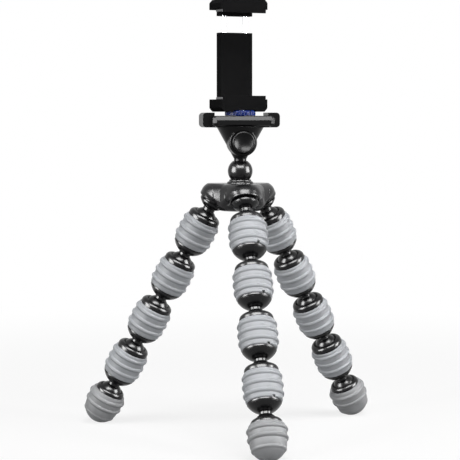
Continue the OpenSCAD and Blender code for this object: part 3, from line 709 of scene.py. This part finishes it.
def makeHub(size):
    hub = copyTo(nodes["hub_shell"], "hubBody", Matrix())
    editAll(hub)
    bpy.ops.mesh.remove_doubles(threshold=mergeGap)
    bpy.ops.object.mode_set(mode="OBJECT")
    hub.data.remesh_voxel_size = size["grain"]
    bpy.ops.object.voxel_remesh()
    sockets = [ballPlace(leg, 0).inverted() for leg in legNames]
    height = joints["front_ball_1"]["pos_m"][2]
    for vertex in hub.data.vertices:
        vertex.co = fillet(vertex.co, sockets, height, size)
    soft = hub.modifiers.new("soft", "SMOOTH")
    soft.factor, soft.iterations = size["evenShare"], size["evenPasses"]
    applyModifier(hub, "soft")
    smooth(hub, size["crease"])
    fit(hub, "hub", "hub_shell", "gloss_black")


makeHub(hubSize)
print("hub made")


# Release plate: the solid's shape with the lip's upper edge leaning back

plateSize = {"lean": 25, "high": 3 * mm, "crease": 20}


def makePlate(size):
    low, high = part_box("release_plate")
    plate = copyTo(nodes["release_plate"], "plateBody", Matrix())
    lean = math.radians(size["lean"])
    editAll(plate)
    bpy.ops.mesh.remove_doubles(threshold=mergeGap)
    bpy.ops.mesh.bisect(
        plane_co=(0, low.y, high.z - size["high"]), plane_no=(0, -math.cos(lean), math.sin(lean)),
        use_fill=True, clear_outer=True, threshold=mergeGap)
    bpy.ops.object.mode_set(mode="OBJECT")
    smooth(plate, size["crease"])
    fit(plate, "plate", "release_plate", "satin_black")


makePlate(plateSize)
print("release plate made")


# Release button: a cap with a dished face, on its guide stem

buttonSize = {
    "radius": 7.8 * mm, "round": 1.2 * mm, "cap": 5 * mm, "stem": 2.4 * mm, "dish": 2.2 * mm, "steps": 24,
    "roundSteps": 6, "sides": 96, "pole": 0.02 * mm, "crease": 30}


def buttonOutline(length, size):
    radius, edge, dish = size["radius"], size["round"], size["dish"]
    rim = radius - edge
    arc = (rim ** 2 + dish ** 2) / (2 * dish)
    outline = []
    for i in range(size["steps"] + 1):
        out = max(rim * i / size["steps"], size["pole"])
        outline.append((out, length - dish + arc - math.sqrt(arc ** 2 - out ** 2)))
    for i in range(1, size["roundSteps"] + 1):
        angle = math.radians(90 * i / size["roundSteps"])
        outline.append((rim + edge * math.sin(angle), length - edge + edge * math.cos(angle)))
    back = length - size["cap"]
    return outline + [(radius, back), (size["stem"], back), (size["stem"], 0.0), (size["pole"], 0.0)]


low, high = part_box("release_button")
button = lathe("buttonCap", buttonOutline(high.y - low.y, buttonSize), buttonSize["sides"])
button.data.transform(
    Matrix.Translation((0, high.y, (low.z + high.z) / 2)) @ Matrix.Rotation(math.radians(90), 4, "X"))
smooth(button, buttonSize["crease"])
fit(button, "button", "release_button", "satin_black")
print("release button made")


# Camera, at the photograph's viewing angle

viewSize = {
    "azimuth": -9.7, "elevation": 3.8, "distance": 1.18, "targetHeight": 0.141,
    "pixelsPerMetre": 1440.0, "framePixels": 460, "axisPixel": 240.2, "sensor": 36.0, "near": 0.01}


def addCamera(size):
    azimuth, elevation = math.radians(size["azimuth"]), math.radians(size["elevation"])
    away = Vector((math.sin(azimuth) * math.cos(elevation), -math.cos(azimuth) * math.cos(elevation),
                   math.sin(elevation)))
    camera = bpy.data.objects.new("viewCamera", bpy.data.cameras.new("viewCamera"))
    bpy.context.scene.collection.objects.link(camera)
    camera.location = Vector((0, 0, size["targetHeight"])) + away * size["distance"]
    camera.rotation_euler = (-away).to_track_quat("-Z", "Y").to_euler()
    focalPixels = size["pixelsPerMetre"] * size["distance"]
    camera.data.sensor_width = size["sensor"]
    camera.data.lens = focalPixels / size["framePixels"] * size["sensor"]
    camera.data.shift_x = -(size["axisPixel"] - size["framePixels"] / 2) / size["framePixels"]
    camera.data.clip_start = size["near"]
    bpy.context.scene.camera = camera


addCamera(viewSize)
print("camera placed")


# Studio: pale floor, white background and soft boxes

floorLook = {
    "size": 12.0, "bounceColour": (0.3, 0.3, 0.3), "seenColour": (0.95, 0.95, 0.95),
    "nearLight": 0.8, "farLight": 1.0, "nearReach": 0.2, "farReach": 0.8}
boxLights = [
    {"name": "topBox", "spot": (0.05, -0.35, 1.3), "aim": (0, 0, 0.15),
     "width": 0.7, "height": 0.3, "level": 15.0},
    {"name": "leftBox", "spot": (-1.0, -0.75, 0.5), "aim": (0, 0, 0.14),
     "width": 0.16, "height": 1.0, "level": 11.0},
    {"name": "rightBox", "spot": (0.95, -0.8, 0.6), "aim": (0, 0, 0.14),
     "width": 0.18, "height": 1.0, "level": 13.0}]
shineBoxes = [
    {"name": "topShine", "spot": (-0.1, -0.75, 1.0), "aim": (0, 0, 0.16),
     "width": 1.2, "height": 0.5, "level": 42.0},
    {"name": "leftShine", "spot": (-1.2, -0.35, 0.4), "aim": (0, 0, 0.16),
     "width": 0.8, "height": 1.0, "level": 44.0},
    {"name": "rightShine", "spot": (1.15, -0.5, 0.4), "aim": (0, 0, 0.16),
     "width": 0.7, "height": 1.0, "level": 44.0}]
skyLevel = 0.15


def addFloor(look):
    deselect()
    bpy.ops.mesh.primitive_plane_add(size=look["size"])
    floor = bpy.context.object
    floor.name = "floor"
    material = bpy.data.materials.new("paleFloor")
    material.use_nodes = True
    tree = material.node_tree
    shader = tree.nodes["Principled BSDF"]
    shader.inputs["Roughness"].default_value = 1.0
    shader.inputs["Specular IOR Level"].default_value = 0.0
    glow = place(tree, "ShaderNodeEmission", (0, -300))
    seen = seenDirectly(tree, (-700, 300))
    spot = place(tree, "ShaderNodeTexCoord", (-700, 600))
    away = place(tree, "ShaderNodeVectorMath", (-500, 600), operation="LENGTH")
    level = place(tree, "ShaderNodeMapRange", (-300, 600), interpolation_type="SMOOTHSTEP")
    for label, key in (("From Min", "nearReach"), ("From Max", "farReach"), ("To Min", "nearLight"),
                       ("To Max", "farLight")):
        level.inputs[label].default_value = look[key]
    share = place(tree, "ShaderNodeMath", (0, 300), operation="MULTIPLY")
    mix = place(tree, "ShaderNodeMixShader", (300, 0))
    link = tree.links.new
    colour = mixColour(tree, (-300, 0), seen, look["bounceColour"], look["seenColour"])
    link(colour, shader.inputs["Base Color"])
    link(spot.outputs["Object"], away.inputs[0])
    link(away.outputs["Value"], level.inputs["Value"])
    link(seen, share.inputs[0])
    link(level.outputs["Result"], share.inputs[1])
    link(share.outputs["Value"], mix.inputs["Fac"])
    link(shader.outputs["BSDF"], mix.inputs[1])
    link(glow.outputs["Emission"], mix.inputs[2])
    link(mix.outputs["Shader"], tree.nodes["Material Output"].inputs["Surface"])
    floor.data.materials.append(material)


# One where the camera, or a reflection or glass, sees the surface
def seenDirectly(tree, spot):
    path = place(tree, "ShaderNodeLightPath", spot)
    first = place(tree, "ShaderNodeMath", (spot[0] + 200, spot[1]), operation="MAXIMUM")
    both = place(tree, "ShaderNodeMath", (spot[0] + 350, spot[1]), operation="MAXIMUM")
    tree.links.new(path.outputs["Is Camera Ray"], first.inputs[0])
    tree.links.new(path.outputs["Is Glossy Ray"], first.inputs[1])
    tree.links.new(first.outputs["Value"], both.inputs[0])
    tree.links.new(path.outputs["Is Transmission Ray"], both.inputs[1])
    return both.outputs["Value"]


def addSky(level):
    world = bpy.data.worlds.new("studio")
    bpy.context.scene.world = world
    world.use_nodes = True
    tree = world.node_tree
    background = tree.nodes["Background"]
    background.inputs["Color"].default_value = (1, 1, 1, 1)
    strength = place(tree, "ShaderNodeMapRange", (-200, -100))
    strength.inputs["To Min"].default_value = level
    strength.inputs["To Max"].default_value = 1.0
    tree.links.new(seenDirectly(tree, (-900, 0)), strength.inputs["Value"])
    tree.links.new(strength.outputs["Result"], background.inputs["Strength"])


def addBoxLight(box):
    lamp = bpy.data.lights.new(box["name"], "AREA")
    lamp.shape = "RECTANGLE"
    lamp.size, lamp.size_y = box["width"], box["height"]
    lamp.energy = box["level"] * math.pi * box["width"] * box["height"]
    holder = bpy.data.objects.new(box["name"], lamp)
    bpy.context.scene.collection.objects.link(holder)
    holder.location = box["spot"]
    aim = Vector(box["aim"]) - Vector(box["spot"])
    holder.rotation_euler = aim.to_track_quat("-Z", "Y").to_euler()
    return holder


addFloor(floorLook)
addSky(skyLevel)
for box in boxLights:
    addBoxLight(box).visible_glossy = False
for box in shineBoxes:
    addBoxLight(box).visible_diffuse = False
bpy.context.scene.view_settings.view_transform = "Standard"
print("studio set")
